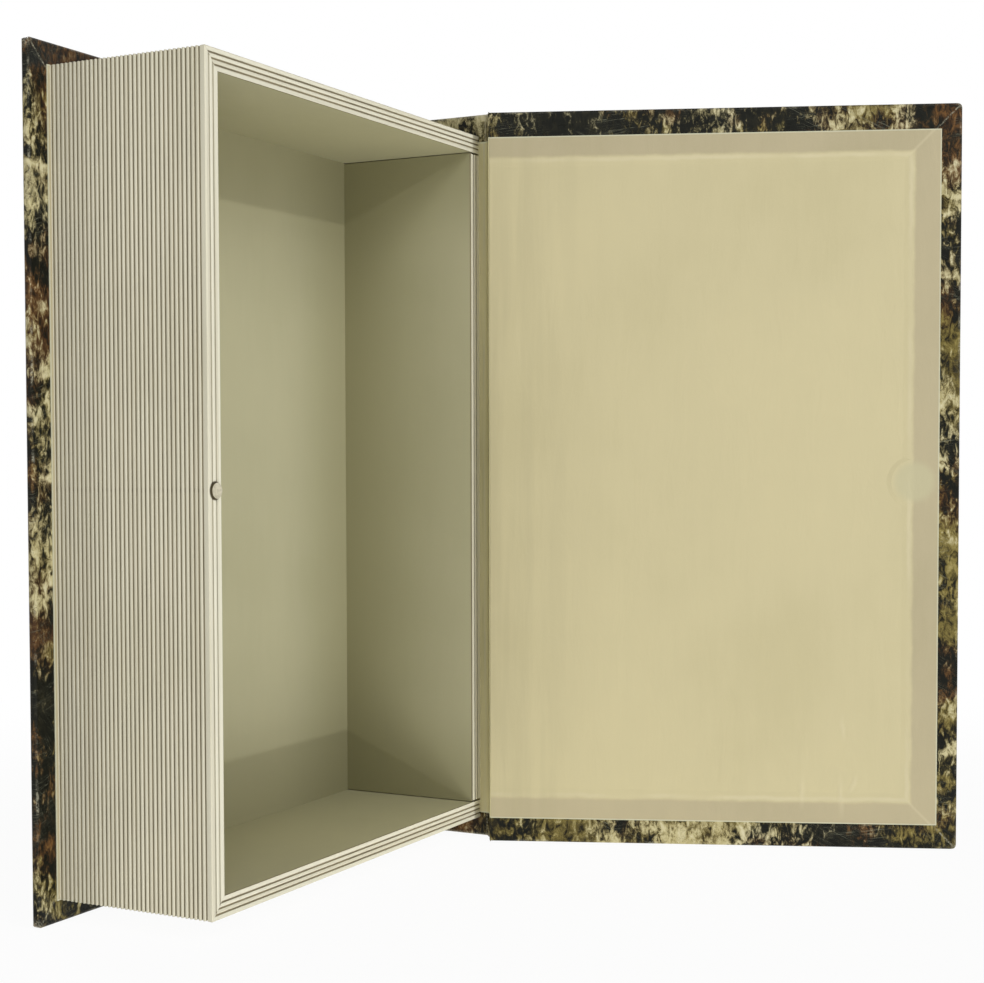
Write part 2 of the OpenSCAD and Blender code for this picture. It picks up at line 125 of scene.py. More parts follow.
# Node graphs
class Graph:
    """A material's nodes, written as short calls. A value is a number, a tuple or a socket."""

    def __init__(self, name):
        self.material = bpy.data.materials.new(name)
        self.material.use_nodes = True
        self.tree = self.material.node_tree
        self.tree.nodes.clear()
        self.place = self.add("ShaderNodeTexCoord").outputs["Object"]

    def add(self, kind, **settings):
        node = self.tree.nodes.new(kind)
        for key, value in settings.items():
            setattr(node, key, value)
        return node

    def put(self, socket, value):
        if isinstance(value, bpy.types.NodeSocket):
            self.tree.links.new(value, socket)
        elif socket.type == "RGBA" and len(value) == 3:
            socket.default_value = (*value, 1.0)
        else:
            socket.default_value = value

    def math(self, operation, *values):
        node = self.add("ShaderNodeMath", operation=operation)
        for socket, value in zip(node.inputs, values):
            self.put(socket, value)
        return node.outputs[0]

    def add_up(self, *values):
        total = values[0]
        for value in values[1:]:
            total = self.math("ADD", total, value)
        return total

    def sub(self, a, b):
        return self.math("SUBTRACT", a, b)

    def mul(self, *values):
        total = values[0]
        for value in values[1:]:
            total = self.math("MULTIPLY", total, value)
        return total

    def least(self, a, b):
        return self.math("MINIMUM", a, b)

    def either(self, *masks):
        """A mask that is as high as the highest of several."""
        total = masks[0]
        for mask in masks[1:]:
            total = self.math("MAXIMUM", total, mask)
        return total

    def distance(self, a, b, centre):
        """How far the place a, b is from a centre in their plane."""
        squares = [self.math("POWER", self.sub(value, middle), 2.0) for value, middle in zip((a, b), centre)]
        return self.math("SQRT", self.add_up(*squares))

    def step(self, value, low, high, to_low=0.0, to_high=1.0):
        """A smooth step from to_low, where value is at low, to to_high, where it is at high."""
        node = self.add("ShaderNodeMapRange", interpolation_type="SMOOTHSTEP")
        self.put(node.inputs["Value"], value)
        for key, number in (("From Min", low), ("From Max", high), ("To Min", to_low), ("To Max", to_high)):
            self.put(node.inputs[key], number)
        return node.outputs["Result"]

    def bump_at(self, value, centre, width):
        """1 where value is at centre, falling to 0 at width from it."""
        return self.step(self.math("ABSOLUTE", self.sub(value, centre)), 0.0, width, 1.0, 0.0)

    def split(self, vector):
        node = self.add("ShaderNodeSeparateXYZ")
        self.put(node.inputs[0], vector)
        return node.outputs

    def join(self, x, y, z):
        node = self.add("ShaderNodeCombineXYZ")
        for socket, value in zip(node.inputs, (x, y, z)):
            self.put(socket, value)
        return node.outputs[0]

    def vector_math(self, operation, vector, by):
        node = self.add("ShaderNodeVectorMath", operation=operation)
        self.put(node.inputs[0], vector)
        node.inputs[1].default_value = by
        return node.outputs

    def stretch(self, vector, x, y, z):
        return self.vector_math("MULTIPLY", vector, (x, y, z))[0]

    def dot(self, vector, x, y, z=0.0):
        return self.vector_math("DOT_PRODUCT", vector, (x, y, z))["Value"]

    def noise(self, vector, scale, *, detail=3.0, roughness=0.5, distortion=0.0, shift=0.0):
        """Noise with scale in waves a millimetre. Another shift gives another pattern."""
        node = self.add("ShaderNodeTexNoise", noise_dimensions="3D")
        if shift:
            vector = self.vector_math("ADD", vector, (shift, shift * 0.7, shift * 1.3))[0]
        self.put(node.inputs["Vector"], vector)
        node.inputs["Scale"].default_value = scale
        node.inputs["Detail"].default_value = detail
        node.inputs["Roughness"].default_value = roughness
        node.inputs["Distortion"].default_value = distortion
        return node.outputs["Fac"]

    def mix(self, factor, a, b):
        node = self.add("ShaderNodeMix", data_type="RGBA")
        self.put(node.inputs[0], factor)
        self.put(node.inputs[MIX_A], a)
        self.put(node.inputs[MIX_B], b)
        return node.outputs[MIX_RESULT]

    def ramp(self, factor, *stops):
        """A row of colours along factor. Each stop is a place and a colour."""
        node = self.add("ShaderNodeValToRGB")
        self.put(node.inputs[0], factor)
        elements = node.color_ramp.elements
        while len(elements) < len(stops):
            elements.new(0.5)
        for element, (position, colour) in zip(elements, stops):
            element.position = position
            element.color = (*colour, 1.0)
        return node.outputs[0]

    def bump(self, height, distance, strength=1.0, normal=None):
        """Relief of a depth in metres, on top of another one where normal gives it."""
        node = self.add("ShaderNodeBump")
        node.inputs["Strength"].default_value = strength
        node.inputs["Distance"].default_value = distance
        self.put(node.inputs["Height"], height)
        if normal is not None:
            self.put(node.inputs["Normal"], normal)
        return node.outputs[0]

    def finish(self, **values):
        shader = self.add("ShaderNodeBsdfPrincipled")
        for key, value in values.items():
            self.put(shader.inputs[key.replace("_", " ")], value)
        self.put(self.add("ShaderNodeOutputMaterial").inputs["Surface"], shader.outputs[0])
        return self.material


def linear(part):
    """One part of an sRGB colour, from 0 to 1, as linear light."""
    return part / 12.92 if part <= 0.04045 else ((part + 0.055) / 1.055) ** 2.4


def rgb(red, green, blue):
    """A colour given in sRGB steps of 0 to 255, as linear light."""
    return tuple(linear(part / 255) for part in (red, green, blue))


def shade(colour, *factors):
    """A colour times one factor, or times one for each of its parts."""
    return tuple(part * factors[i % len(factors)] for i, part in enumerate(colour))


def place_of(graph, source="Object"):
    """The surface point in tray millimetres. A bent sheet keeps its places at rest in an attribute."""
    if source == "Object":
        point = graph.place
    else:
        point = graph.add("ShaderNodeAttribute", attribute_name=source).outputs["Vector"]
    return graph.stretch(graph.vector_math("SUBTRACT", point, ORIGIN)[0], 1 / MM, 1 / MM, 1 / MM)


def cover_place(graph, place):
    """A place on the front cover: u from fore edge to joint, v up and d outward from its inner face."""
    corner = COVER_EDGE + ALONG * JOINT_AIR
    u = graph.sub(COVER_W + corner.dot(ALONG), graph.dot(place, *ALONG))
    d = graph.sub(graph.dot(place, *OUTWARD), corner.dot(OUTWARD))
    return u, graph.split(place)[2], d


def back_place(graph, place):
    """The same for the back cover."""
    x, y, z = graph.split(place)
    return graph.math("ADD", x, OVERHANG), z, y


def to_nearer(graph, value, low, high):
    """How far a value between two limits is from the nearer one."""
    return graph.least(graph.sub(value, low), graph.sub(high, value))


def from_cover_end(graph, v):
    """How far a height is from the nearer end of a cover."""
    return graph.least(v, graph.sub(COVER_H, v))


def dress(material, *names):
    """Gives CAD nodes a material."""
    for name in names:
        mesh = nodes[name].data
        mesh.materials.clear()
        mesh.materials.append(material)


# Cream papers
LINING = rgb(184, 180, 148)
# Painted shade for the linings' corners
LINING_CORNER_SHADE = rgb(138, 134, 98)
LINER = rgb(201, 191, 152)
LINER_WORN = shade(LINER, 0.72)
LINER_BAND = rgb(179, 168, 138)
# Pale step line, and painted highlight for mitres and creases
LINER_PALE_AND_HIGHLIGHT = rgb(212, 202, 168)
LINER_PATCH = rgb(192, 186, 151)
PAPER_EDGE = rgb(208, 208, 182)
JOINT = rgb(206, 198, 154)
JOINT_STREAK = shade(JOINT, 0.66)
JOINT_FOLD_SHADE = rgb(112, 100, 62)
JOINT_PALE_LINE = rgb(196, 192, 168)


def paper_colour(graph, place, base, seed=0.0, spread=1.0):
    """Cream paper: cloudy toning, a faint upright grain and fine fibres."""
    clouds = graph.noise(place, 0.014, shift=seed)
    grain = graph.noise(graph.stretch(place, 1.0, 1.0, 0.16), 0.22, roughness=0.55, shift=seed + 9)
    fibres = graph.noise(place, 2.6, roughness=0.7, shift=seed + 4)
    dark = shade(base, 1 - 0.085 * spread, 1 - 0.085 * spread, 1 - 0.11 * spread)
    pale = shade(base, 1 + 0.06 * spread, 1 + 0.055 * spread, 1 + 0.05 * spread)
    tone = graph.add_up(graph.mul(clouds, 0.66), graph.mul(grain, 0.14), graph.mul(fibres, 0.2))
    return graph.ramp(tone, (0.38, dark), (0.5, base), (0.64, pale))


def paper_bump(graph, place, depth=0.00004, seed=0.0):
    """Fine fibres on faint waves."""
    fibres = graph.noise(place, 2.6, detail=4, roughness=0.7, shift=seed)
    waves = graph.noise(place, 0.05, detail=2, shift=seed + 3)
    return graph.bump(graph.add_up(graph.mul(fibres, 0.4), graph.mul(waves, 3.0)), distance=depth)


def lining_paper(name, in_corners):
    """Lining paper, darkened by painted shade towards the corners.

    in_corners gives, for each corner, the distance to it, how far its painted shade reaches and how dark it
    is.
    """
    graph = Graph(name)
    place = place_of(graph)
    colour = paper_colour(graph, place, LINING, seed=1.0, spread=0.5)
    # Painted shade towards each corner
    for distance, reach, shade_strength in in_corners(graph, *graph.split(place)):
        colour = graph.mix(graph.step(distance, 0.0, reach, shade_strength, 0.0), colour, LINING_CORNER_SHADE)
    bump = paper_bump(graph, place, seed=1.0)
    return graph.finish(Base_Color=colour, Roughness=0.92, Normal=bump, Specular_IOR_Level=0.2)


def floor_corners(graph, x, y, z):
    ends = to_nearer(graph, z, FLOOR_PAPER_LOW.z, FLOOR_PAPER_HIGH.z)
    return (ends, 44.0, 0.45), (graph.sub(FLOOR_PAPER_HIGH.x, x), 55.0, 0.6)


def side_corners(graph, x, y, z):
    ends = to_nearer(graph, z, FLOOR_PAPER_LOW.z, FLOOR_PAPER_HIGH.z)
    return (ends, 46.0, 0.55), (graph.sub(0.0, y), 62.0, 0.8)


def end_corners(graph, x, y, z):
    return ((graph.sub(0.0, y), 80.0, 0.35),)


dress(lining_paper("floor_paper", floor_corners), "floor_lining")
dress(lining_paper("side_paper", side_corners), "fore_edge_lining", "spine_lining")
dress(lining_paper("end_paper", end_corners), "head_lining", "tail_lining")

# Places on the liners, in a cover's own millimetres: each liner's fore edge, lower edge and upper edge, where
# its wear towards the joint ends, and the patch on the front one where the magnet meets it
FRONT_LINER_U0, FRONT_LINER_V0, FRONT_LINER_V1 = 8.1, 9.8, 289.8
BACK_LINER_U0, BACK_LINER_V0, BACK_LINER_V1 = 9.2, 7.8, 292.2
FRONT_WEAR_END, BACK_WEAR_END, WEAR_W = COVER_W, COVER_W + 40, 56
PATCH_CENTRE, PATCH_R, PATCH_SOFT_IN, PATCH_SOFT_OUT = (17.7, 149.0), 8.4, 2.6, 1.4

# The turn-ins under the liners: their width, and where the pale line beside them and their mitres lie
TURN_IN = 19.0
STEP_LINE_AT, STEP_LINE_W = TURN_IN + 0.9, 1.4
MITRE_AT, MITRE_W = 0.4, 1.3

# Lines along the joint's folds, in from each fold
BOARD_LINE_AT, BOARD_LINE_W = 0.9, 2.3
SPINE_LINE_AT, SPINE_LINE_W = 1.2, 0.6

# Creases near the front liner's lower fore-edge corner: u, lean, and the heights that each runs between
LIFTED_CREASES = (
    (46.0, 0.04, 10.0, 32.0),
    (43.0, -0.3, 21.0, 31.0),
    (45.0, 0.1, 42.0, 56.0),
    (62.0, 0.02, 14.0, 30.0),
)
CREASE_W = 1.7


def lifted_creases(graph, place, u, v):
    """A few short creases where the liner was once lifted."""
    drift = graph.mul(graph.sub(graph.noise(place, 0.1, roughness=0.6, shift=131), 0.5), 3.0)
    lines = []
    for crease_u, lean, low, high in LIFTED_CREASES:
        across = graph.add_up(u, drift, graph.mul(v, -lean), low * lean - crease_u)
        along = graph.bump_at(v, (low + high) / 2, (high - low) / 2)
        lines.append(graph.mul(graph.bump_at(across, 0.0, CREASE_W), along))
    return graph.either(*lines)


def liner_paper(name, of_cover, u0, v0, v1, wear_end, is_front):
    """The liner: greyer over the turn-ins, with a pale step line beside them and a pale cut edge."""
    graph = Graph(name)
    place = place_of(graph)
    u, v = of_cover(graph, place)[:2]
    colour = paper_colour(graph, place, LINER, seed=5.0, spread=0.55)

    # The band over the turn-ins, the step line along it and a painted highlight along the turn-ins' mitred
    # corners
    from_end = from_cover_end(graph, v)
    wobble = graph.mul(graph.sub(graph.noise(place, 0.12, roughness=0.6, shift=31), 0.5), 1.6)
    to_turn_in = graph.add_up(graph.least(u, from_end), wobble)
    band = graph.step(to_turn_in, TURN_IN - 1.4, TURN_IN + 0.4, 0.85, 0.0)
    colour = graph.mix(band, colour, paper_colour(graph, place, LINER_BAND, seed=12.0))
    line_strength = graph.step(graph.noise(place, 0.03, detail=2, shift=41), 0.36, 0.6, 0.1, 0.6)
    line = graph.mul(graph.bump_at(to_turn_in, STEP_LINE_AT, STEP_LINE_W), line_strength)
    colour = graph.mix(line, colour, LINER_PALE_AND_HIGHLIGHT)
    diagonal = graph.bump_at(graph.sub(u, from_end), MITRE_AT, MITRE_W)
    in_corner = graph.step(graph.either(u, from_end), TURN_IN - 1.0, TURN_IN + 2.0, 0.3, 0.0)
    colour = graph.mix(graph.mul(diagonal, in_corner), colour, LINER_PALE_AND_HIGHLIGHT)

    # Wear towards the joint
    worn = graph.noise(graph.stretch(place, 1.0, 1.0, 0.06), 0.12, detail=4, roughness=0.6, shift=51)
    near_joint = graph.step(u, wear_end - WEAR_W, wear_end, 0.0, 0.3)
    colour = graph.mix(graph.mul(near_joint, graph.step(worn, 0.35, 0.65)), colour, LINER_WORN)

    if is_front:
        away = graph.distance(u, v, PATCH_CENTRE)
        patch = graph.step(away, PATCH_R - PATCH_SOFT_IN, PATCH_R + PATCH_SOFT_OUT, 0.8, 0.0)
        colour = graph.mix(patch, colour, LINER_PATCH)
    to_edge = graph.least(graph.sub(u, u0), to_nearer(graph, v, v0, v1))
    colour = graph.mix(graph.step(to_edge, 0.25, 0.6, 0.75, 0.0), colour, PAPER_EDGE)
    waves = graph.noise(
        graph.stretch(place, 1.0, 1.0, 0.3), 0.09, detail=4, roughness=0.6, distortion=0.8, shift=61,
    )
    bump = graph.bump(waves, distance=0.0007, strength=0.35, normal=paper_bump(graph, place, seed=5.0))
    if is_front:
        creases = lifted_creases(graph, place, u, v)
        # Painted highlight along the creases, which also get a bump
        colour = graph.mix(graph.mul(creases, 0.35), colour, LINER_PALE_AND_HIGHLIGHT)
        bump = graph.bump(creases, distance=0.0002, strength=0.6, normal=bump)
    return graph.finish(Base_Color=colour, Roughness=0.82, Normal=bump, Specular_IOR_Level=0.28)


dress(liner_paper(
    "front_liner_paper", cover_place, FRONT_LINER_U0, FRONT_LINER_V0, FRONT_LINER_V1, FRONT_WEAR_END, True,
), "front_liner")
dress(liner_paper(
    "back_liner_paper", back_place, BACK_LINER_U0, BACK_LINER_V0, BACK_LINER_V1, BACK_WEAR_END, False,
), "back_liner")


def joint_paper():
    """The liner over the joint: rubbed and darker, with upright streaks, painted shade along the board's fold
    and a pale line along the spine's fold.
    """
    graph = Graph("joint_paper")
    place = place_of(graph, "rest")
    way = (BOARD_FOLD - SPINE_FOLD).normalized()
    span = (BOARD_FOLD - SPINE_FOLD).length
    across = graph.sub(graph.dot(place, *way), SPINE_FOLD.dot(way))
    colour = paper_colour(graph, place, JOINT, seed=8.0, spread=1.2)
    streaks = graph.noise(graph.stretch(place, 1.0, 1.0, 0.03), 0.9, detail=4, roughness=0.65, shift=14)
    colour = graph.mix(graph.step(streaks, 0.5, 0.7, 0.0, 0.45), colour, JOINT_STREAK)
    # Painted shade along the board's fold
    board_fold_shade = graph.mul(graph.bump_at(across, span - BOARD_LINE_AT, BOARD_LINE_W), 0.75)
    colour = graph.mix(board_fold_shade, colour, JOINT_FOLD_SHADE)
    line_strength = graph.step(streaks, 0.4, 0.6, 0.0, 0.5)
    spine_line = graph.mul(graph.bump_at(across, SPINE_LINE_AT, SPINE_LINE_W), line_strength)
    colour = graph.mix(spine_line, colour, JOINT_PALE_LINE)
    to_edge = to_nearer(graph, graph.split(place)[2], FRONT_LINER_V0, FRONT_LINER_V1)
    colour = graph.mix(graph.step(to_edge, 0.3, 0.9, 0.7, 0.0), colour, PAPER_EDGE)
    bump = graph.bump(streaks, distance=0.0004, strength=0.5, normal=paper_bump(graph, place, seed=8.0))
    return graph.finish(Base_Color=colour, Roughness=0.78, Normal=bump, Specular_IOR_Level=0.3)


# Grey board
BOARD_DARK, BOARD_GREY, BOARD_PALE = rgb(140, 130, 108), rgb(172, 161, 136), rgb(190, 180, 156)


def grey_board():
    """Pressed board: fine layers and specks. Other pieces cover nearly all of it."""
    graph = Graph("grey_board")
    place = place_of(graph)
    layers = graph.noise(graph.stretch(place, 0.2, 6.0, 0.2), 0.8, roughness=0.6)
    specks = graph.noise(place, 2.5, roughness=0.7)
    tone = graph.add_up(graph.mul(layers, 0.5), graph.mul(specks, 0.5))
    colour = graph.ramp(tone, (0.35, BOARD_DARK), (0.5, BOARD_GREY), (0.65, BOARD_PALE))
    return graph.finish(Base_Color=colour, Roughness=0.95, Normal=graph.bump(specks, distance=0.00008))


dress(
    grey_board(), "back_board", "spine_board", "front_board", "tray_floor",
    "fore_edge_wall", "spine_wall", "head_wall", "tail_wall",
)

# Page card
CARD = rgb(227, 222, 199)
CARD_RIM = rgb(238, 235, 217)
CARD_STREAK = rgb(198, 190, 164)
CARD_SHADED = shade(CARD, 0.6)
# Painted shade in the page grooves, darker and paler
GROOVE = rgb(132, 123, 99)
GROOVE_PALE = shade(GROOVE, 1.35)
GAP_PAINTED_SHADE = rgb(88, 78, 55)
GROOVE_TOP, GROOVE_BOTTOM = 0.06, 0.32
GAP_IN, GAP_OUT = 0.35, 0.75
SHADED_FROM, SHADED_TO = -34.0, -2.0


def painted_magnet_gap_shade(graph, place, colour):
    """Painted shade of a gap round the magnet: a dark ring on the card just outside it, as if its hole were a
    little wider than the magnet.
    """
    x, y, z = graph.split(place)
    centre = ((MAGNET_LOW.x + MAGNET_HIGH.x) / 2, (MAGNET_LOW.z + MAGNET_HIGH.z) / 2)
    radius = (MAGNET_HIGH.z - MAGNET_LOW.z) / 2
    ring = graph.step(graph.distance(x, z, centre), radius + GAP_IN, radius + GAP_OUT, 0.9, 0.0)
    return graph.mix(ring, colour, GAP_PAINTED_SHADE)


def along_grooves(graph, place, along, share):
    """The place pressed together along the grooves, so that a pattern on it is drawn out that way."""
    return graph.stretch(place, *(share if axis == along else 1.0 for axis in "xyz"))


def page_card(name, side_of, along, fore_edge=False):
    """Grooved card. side_of gives the depth below its outside, and along is the way that its grooves run."""
    graph = Graph(name)
    place = place_of(graph)
    x, y, z = graph.split(place)
    below_rim = graph.math("ADD", y, TRAY_D)
    side = side_of(graph, x, z)
    on_rim = graph.step(graph.sub(side, below_rim), 0.0, 0.6)
    card = paper_colour(graph, place, CARD, seed=2.0, spread=0.8)
    card = graph.mix(graph.mul(on_rim, 0.6), card, CARD_RIM)
    streaks = graph.noise(along_grooves(graph, place, along, 0.012), 0.5, roughness=0.6, shift=71)
    card = graph.mix(graph.step(streaks, 0.46, 0.66, 0.0, 0.35), card, CARD_STREAK)
    groove_shade_tone = graph.noise(along_grooves(graph, place, along, 0.05), 0.9, roughness=0.6, shift=81)
    # Painted shade in the grooves, from a little below the outside down
    groove = graph.step(graph.least(side, below_rim), GROOVE_TOP, GROOVE_BOTTOM)
    if fore_edge:
        groove = graph.mul(groove, graph.step(on_rim, 0.0, 1.0, 1.0, 0.8))
        # Painted shade: the fore-edge face darker towards the back cover
        card = graph.mix(graph.step(y, SHADED_FROM, SHADED_TO, 0.0, 0.45), card, CARD_SHADED)
    groove_colour = graph.mix(graph.step(groove_shade_tone, 0.38, 0.62), GROOVE, GROOVE_PALE)
    colour = painted_magnet_gap_shade(graph, place, graph.mix(groove, card, groove_colour))
    bump = paper_bump(graph, place, depth=0.00003, seed=2.0)
    return graph.finish(Base_Color=colour, Roughness=0.8, Normal=bump, Specular_IOR_Level=0.25)


dress(page_card("fore_edge_card", lambda graph, x, z: x, "z", True), "fore_edge_pages")
dress(page_card("head_card", lambda graph, x, z: graph.sub(TRAY_Z1, z), "x"), "head_pages")
dress(page_card("tail_card", lambda graph, x, z: graph.sub(z, TRAY_Z0), "x"), "tail_pages")
dress(page_card("spine_rim_card", lambda graph, x, z: x, "z"), "spine_rim_pages")

# Printed wrap: a sponged and clouded pattern in the case's colours. Each row goes from dark to pale.
PRINT_BLACK = (
    (0.46, rgb(20, 21, 16)), (0.56, rgb(34, 33, 24)), (0.64, rgb(56, 52, 36)), (0.76, rgb(104, 97, 68)),
)
PRINT_BROWN = (
    (0.4, rgb(36, 27, 19)), (0.49, rgb(70, 49, 30)), (0.58, rgb(108, 77, 44)), (0.7, rgb(152, 120, 74)),
)
PRINT_MOSS = (
    (0.4, rgb(54, 47, 27)), (0.48, rgb(98, 87, 47)), (0.57, rgb(136, 123, 70)), (0.68, rgb(178, 165, 112)),
)
PRINT_CREAM = (
    (0.38, rgb(146, 131, 82)), (0.47, rgb(178, 166, 118)),
    (0.56, rgb(198, 189, 147)), (0.68, rgb(212, 205, 172)),
)
MOSS_MARK, CREAM_MARK = rgb(46, 39, 24), rgb(84, 71, 42)
SCRATCH = rgb(150, 150, 128)
# Pale wear, also used as painted highlight on the covers
WEAR_AND_HIGHLIGHT = rgb(176, 172, 150)


def printed_colour(graph, place):
    """Clouds of near-black, brown, moss and cream. Each has its own fine curls and brush marks."""
    warp = graph.noise(place, 0.07, detail=6, roughness=0.64, distortion=0.8, shift=3)
    brushed = graph.noise(
        graph.stretch(place, 1.0, 1.0, 0.5), 0.42, detail=5, roughness=0.66, distortion=0.8, shift=13,
    )
    curls = graph.noise(place, 0.34, detail=4, roughness=0.6, distortion=2.2, shift=23)
    dots = graph.noise(place, 0.8, detail=4, roughness=0.66, distortion=1.2, shift=33)
    marks = graph.either(graph.bump_at(curls, 0.5, 0.035), graph.step(dots, 0.55, 0.62))
    patches = graph.step(warp, 0.44, 0.58, 0.85, 0.1)
    tone = graph.add_up(graph.mul(warp, 0.45), graph.mul(brushed, 0.55))
    moss = graph.mix(graph.mul(marks, graph.mul(patches, 0.8)), graph.ramp(tone, *PRINT_MOSS), MOSS_MARK)
    cream = graph.mix(graph.mul(marks, patches), graph.ramp(tone, *PRINT_CREAM), CREAM_MARK)

    # Large clouds say which colours lie where, with edges broken up by the fine tone
    fine = graph.mul(graph.sub(tone, 0.5), 0.9)

    def zone(scale, distortion, shift, low, high):
        clouds = graph.noise(place, scale, detail=4, roughness=0.6, distortion=distortion, shift=shift)
        return graph.step(graph.add_up(clouds, fine), low, high)

    in_brown = zone(0.018, 0.5, 57, 0.46, 0.62)
    in_cream = zone(0.022, 0.4, 67, 0.44, 0.58)
    in_light = zone(0.012, 0.6, 45, 0.47, 0.6)
    dark = graph.mix(in_brown, graph.ramp(tone, *PRINT_BLACK), graph.ramp(tone, *PRINT_BROWN))
    return graph.mix(in_light, dark, graph.mix(in_cream, moss, cream))


def scratches(graph, place, seed, slant):
    """Fine pale scratches, all in about one direction."""
    turned = graph.join(graph.dot(place, 1.0, 1.0, slant), graph.dot(place, -slant, 0.0, 1.0), 0.0)
    lines = graph.noise(graph.stretch(turned, 0.035, 1.0, 1.0), 1.1, detail=2, distortion=0.3, shift=seed)
    places = graph.step(graph.noise(place, 0.05, roughness=0.6, shift=seed + 3), 0.48, 0.6)
    return graph.mul(graph.bump_at(lines, 0.5, 0.008), places)


def printed_paper(name, wear_and_highlight_at, source="Object"):
    """Printed and laminated paper. The mask that it is given, called with graph and place, is 1 where the
    print is rubbed off, and on the covers also where a highlight is painted.
    """
    graph = Graph(name)
    place = place_of(graph, source)
    colour = printed_colour(graph, place)
    marks = graph.either(scratches(graph, place, 91, 0.35), scratches(graph, place, 97, -1.4))
    colour = graph.mix(graph.mul(marks, 0.5), colour, SCRATCH)
    flecks = graph.noise(place, 1.3, detail=5, roughness=0.75, shift=101)
    # Wear, and on the covers painted highlights along the edges and mitres, broken into flecks
    worn = graph.mul(wear_and_highlight_at(graph, place), graph.step(flecks, 0.42, 0.6))
    colour = graph.mix(worn, colour, WEAR_AND_HIGHLIGHT)
    film = graph.noise(place, 0.22, detail=5, roughness=0.6, distortion=0.5, shift=111)
    bump = graph.bump(graph.add_up(film, graph.mul(flecks, 0.15)), distance=0.00012, strength=0.6)
    rough = graph.either(graph.step(film, 0.35, 0.7, 0.26, 0.42), graph.mul(worn, 0.8))
    return graph.finish(Base_Color=colour, Roughness=rough, Normal=bump, Specular_IOR_Level=0.1)


def worn_and_highlit_cover(of_cover):
    """Wear and a painted highlight along a cover's edges, wear most at its corners, and a painted highlight
    along the mitred folds inside.
    """
    def wear_and_highlight_at(graph, place):
        u, v, d = of_cover(graph, place)
        from_end = from_cover_end(graph, v)
        at_edge = graph.step(graph.least(u, from_end), 0.5, 1.3, 1.0, 0.0)
        at_face = graph.step(to_nearer(graph, d, SHEET_T, CASE_T), 0.25, 0.8, 1.0, 0.0)
        rubbed = graph.step(graph.noise(place, 0.08, roughness=0.6, shift=121), 0.5, 0.66, 0.0, 0.7)
        # The edges: rubbed wear, and a painted highlight standing for the edge's rounding
        edge = graph.mul(graph.mul(at_edge, at_face), rubbed)
        corner = graph.step(graph.math("ADD", u, from_end), 1.5, 4.5, 0.6, 0.0)
        # A painted highlight along the mitred folds inside
        mitre = graph.bump_at(graph.sub(u, from_end), 0.0, 0.7)
        inside = graph.step(d, 0.4, 0.9, 0.85, 0.0)
        in_corner = graph.step(graph.either(u, from_end), TURN_IN - 1.0, TURN_IN, 1.0, 0.0)
        return graph.either(edge, corner, graph.mul(mitre, graph.mul(inside, in_corner)))
    return wear_and_highlight_at


def worn_spine(graph, place):
    """Wear along the spine's ends and its two long edges."""
    x, y, z = graph.split(place)
    at_end = graph.step(to_nearer(graph, z, 0.0, SPINE_H), 0.2, 1.6, 0.8, 0.0)
    at_side = graph.step(to_nearer(graph, y, SPINE_FRONT, SPINE_BACK), 0.1, 1.0, 0.55, 0.0)
    return graph.either(at_end, at_side)


def worn_joint(graph, place):
    """Wear at a joint's head and tail."""
    return graph.step(from_cover_end(graph, graph.split(place)[2]), 0.2, 1.4, 0.7, 0.0)


dress(printed_paper("printed_back", worn_and_highlit_cover(back_place)), "back_wrap")
dress(printed_paper("printed_front", worn_and_highlit_cover(cover_place)), "front_wrap")
dress(printed_paper("printed_spine", worn_spine), "spine_wrap")
dress(printed_paper("printed_joint", worn_joint), "back_joint_wrap")


# Front joint: its paper bends at the two folds, so each sheet is made in two halves that meet between them
def beside(path, shift):
    """A path moved to its left, with mitred corners."""
    moved = []
    for i, point in enumerate(path):
        first = (path[max(i, 1)] - path[max(i, 1) - 1]).normalized()
        last = (path[min(i + 1, len(path) - 1)] - path[min(i, len(path) - 2)]).normalized()
        before, after = Vector((-first.y, first.x)), Vector((-last.y, last.x))
        side = (before + after).normalized()
        moved.append(point + side * (shift / side.dot(after)))
    return moved


def curve(a, b, c, d, steps):
    """A cubic curve from a to d, drawn towards b and c."""
    points = []
    for i in range(steps + 1):
        t = i / steps
        points.append(a * (1 - t) ** 3 + b * (3 * t * (1 - t) ** 2) + c * (3 * t * t * (1 - t)) + d * t ** 3)
    return points


def finely(path, step=0.25):
    """The same path in short steps."""
    points = [path[0]]
    for a, b in zip(path, path[1:]):
        count = max(1, math.ceil((b - a).length / step))
        points += [a + (b - a) * (k / count) for k in range(1, count + 1)]
    return points


def halves(path):
    """A path cut where it is half-way between the folds."""
    middle = (SPINE_FOLD + BOARD_FOLD) / 2
    way = (BOARD_FOLD - SPINE_FOLD).normalized()
    cut = min(range(len(path)), key=lambda i: abs((path[i] - middle).dot(way)))
    return path[:cut + 1], path[cut:]


# Paths of the sheets, seen from above. The wrap leaves the spine's edge, bows a little and ends in a short
# stub on the cover's edge. A second layer lies on it from one of its points on: the turn-ins' at head and
# tail, and the liner's between them, which comes out from between the spine and the tray.
STUB, BOW = 0.3, 0.3
LINER_ROOT_DEPTH, LINER_ROOT_PULL = 12.0, 1.2
WRAP_STEPS, ROOT_STEPS, SECOND_LAYER_START = 24, 8, 10
wrap_from = Vector((SPINE_OUT - CASE_T / 2, SPINE_FRONT - SHEET_T / 2))
wrap_to = COVER_EDGE + OUTWARD * (CASE_T - SHEET_T / 2)
wrap_span = wrap_to - ALONG * STUB - wrap_from
wrap_bow = Vector((-wrap_span.y, wrap_span.x)).normalized() * BOW
outer_path = [Vector((SPINE_OUT, wrap_from.y))] + curve(
    wrap_from, wrap_from + wrap_span / 3 + wrap_bow, wrap_from + wrap_span * 2 / 3 + wrap_bow,
    wrap_from + wrap_span, WRAP_STEPS,
) + [wrap_to]
inner_edge = COVER_EDGE - ALONG * SHEET_T / 2
